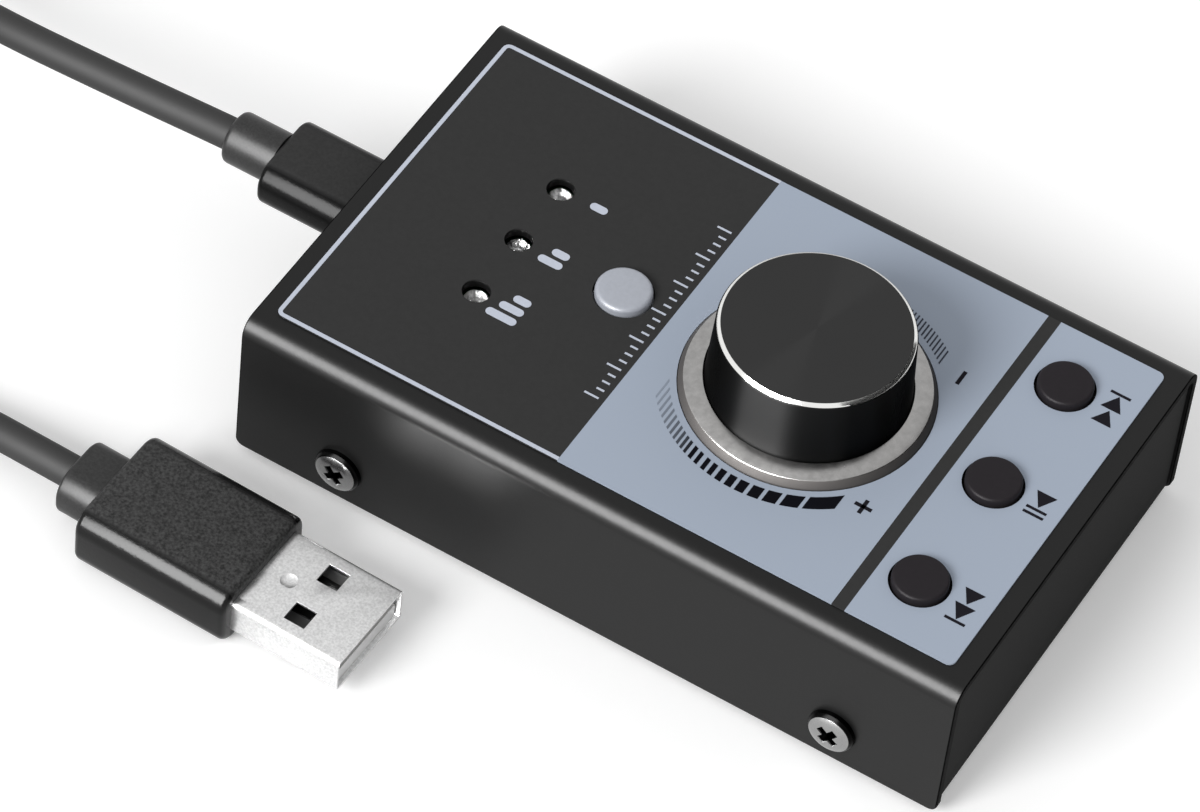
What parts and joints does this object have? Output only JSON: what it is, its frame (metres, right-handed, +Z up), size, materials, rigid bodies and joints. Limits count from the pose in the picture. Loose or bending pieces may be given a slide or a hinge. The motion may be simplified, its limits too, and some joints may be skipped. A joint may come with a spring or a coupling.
{
  "type": "usb volume control knob",
  "caption": "Folded steel desk box with a turning and pressing volume knob, push buttons, status lights and a plugged-in cable.",
  "frame": {"origin": "centre of the box's footprint, on the desk surface under its feet", "axes": "+X from the cable end to the end with the three media buttons, +Z up"},
  "size_m": [0.2099, 0.0772, 0.0305],
  "materials": {
    "powder_coat": "fine satin powder coat, near black",
    "printed_film": "printed film, charcoal with pale blue-grey fields",
    "plated_steel": "nickel plated",
    "foot_rubber": "matt",
    "board_laminate": "green solder mask",
    "chip_resin": "moulded epoxy",
    "clear_lens": "clear epoxy",
    "knob_metal": "black anodised, spun top, bright cut rim",
    "ring_metal": "satin",
    "light_cap": "satin pale grey",
    "dark_cap": "satin charcoal",
    "inner_plastic": "moulded",
    "contact_metal": "gold flash",
    "cable_jacket": "satin jacket",
    "grip_plastic": "fine grain with smooth edges",
    "plug_steel": "tin plated",
    "tie_plastic": "soft band",
    "tray_coat": "matte powder coat, near black",
    "tongue_plastic": "pale moulded plastic"
  },
  "bodies": {
    "case": {"top_cover": "powder_coat", "bottom_tray": "tray_coat", "panel_overlay": "printed_film", "side_screws": "plated_steel", "board_standoffs": "plated_steel", "board_screws": "plated_steel", "clock_crystal": "plated_steel", "led_legs": "plated_steel", "switch_frames": "plated_steel", "switch_domes": "plated_steel", "encoder_frame": "plated_steel", "encoder_dome": "plated_steel", "encoder_pins": "plated_steel", "bushing_washer": "plated_steel", "bushing_nut": "plated_steel", "usb_socket_shell": "plated_steel", "rubber_feet": "foot_rubber", "circuit_board": "board_laminate", "controller_chip": "chip_resin", "small_parts": "chip_resin", "led_low": "clear_lens", "led_middle": "clear_lens", "led_high": "clear_lens", "trim_ring": "ring_metal", "led_spacers": "inner_plastic", "switch_bodies": "inner_plastic", "encoder_base": "inner_plastic", "usb_socket_tongue": "inner_plastic", "usb_a_insert": "tongue_plastic", "usb_a_contacts": "contact_metal", "cord_device_stretch": "cable_jacket", "cord_coil": "cable_jacket", "cord_plug_stretch": "cable_jacket", "usb_c_overmould": "grip_plastic", "usb_c_collar": "grip_plastic", "usb_a_overmould": "grip_plastic", "usb_a_collar": "grip_plastic", "usb_c_shell": "plug_steel", "usb_a_shell": "plug_steel", "cord_tie": "tie_plastic"},
    "rotor": {"encoder_rotor": "inner_plastic"},
    "knob": {"encoder_shaft": "plated_steel", "knob_insert": "inner_plastic", "knob_shell": "knob_metal"},
    "mode": {"mode_button": "light_cap", "mode_stem": "inner_plastic"},
    "previous": {"previous_button": "dark_cap", "previous_stem": "inner_plastic"},
    "play": {"play_button": "dark_cap", "play_stem": "inner_plastic"},
    "next": {"next_button": "dark_cap", "next_stem": "inner_plastic"}
  },
  "joints": [
    {"name": "knob_turn", "type": "hinge", "parent": "case", "child": "rotor", "pos_m": [0.0101, 0, 0.0199], "axis": [0, 0, 1], "continuous": true},
    {"name": "knob_press", "type": "slide", "parent": "rotor", "child": "knob", "axis": [0, 0, -1], "range_m": [0, 0.0005], "stiffness_N_per_m": 6000, "springref_m": -0.0003},
    {"name": "mode_press", "type": "slide", "parent": "case", "child": "mode", "axis": [0, 0, -1], "range_m": [0, 0.00025], "stiffness_N_per_m": 4000, "springref_m": -0.00015},
    {"name": "previous_press", "type": "slide", "parent": "case", "child": "previous", "axis": [0, 0, -1], "range_m": [0, 0.00025], "stiffness_N_per_m": 4000, "springref_m": -0.00015},
    {"name": "play_press", "type": "slide", "parent": "case", "child": "play", "axis": [0, 0, -1], "range_m": [0, 0.00025], "stiffness_N_per_m": 4000, "springref_m": -0.00015},
    {"name": "next_press", "type": "slide", "parent": "case", "child": "next", "axis": [0, 0, -1], "range_m": [0, 0.00025], "stiffness_N_per_m": 4000, "springref_m": -0.00015}
  ]
}
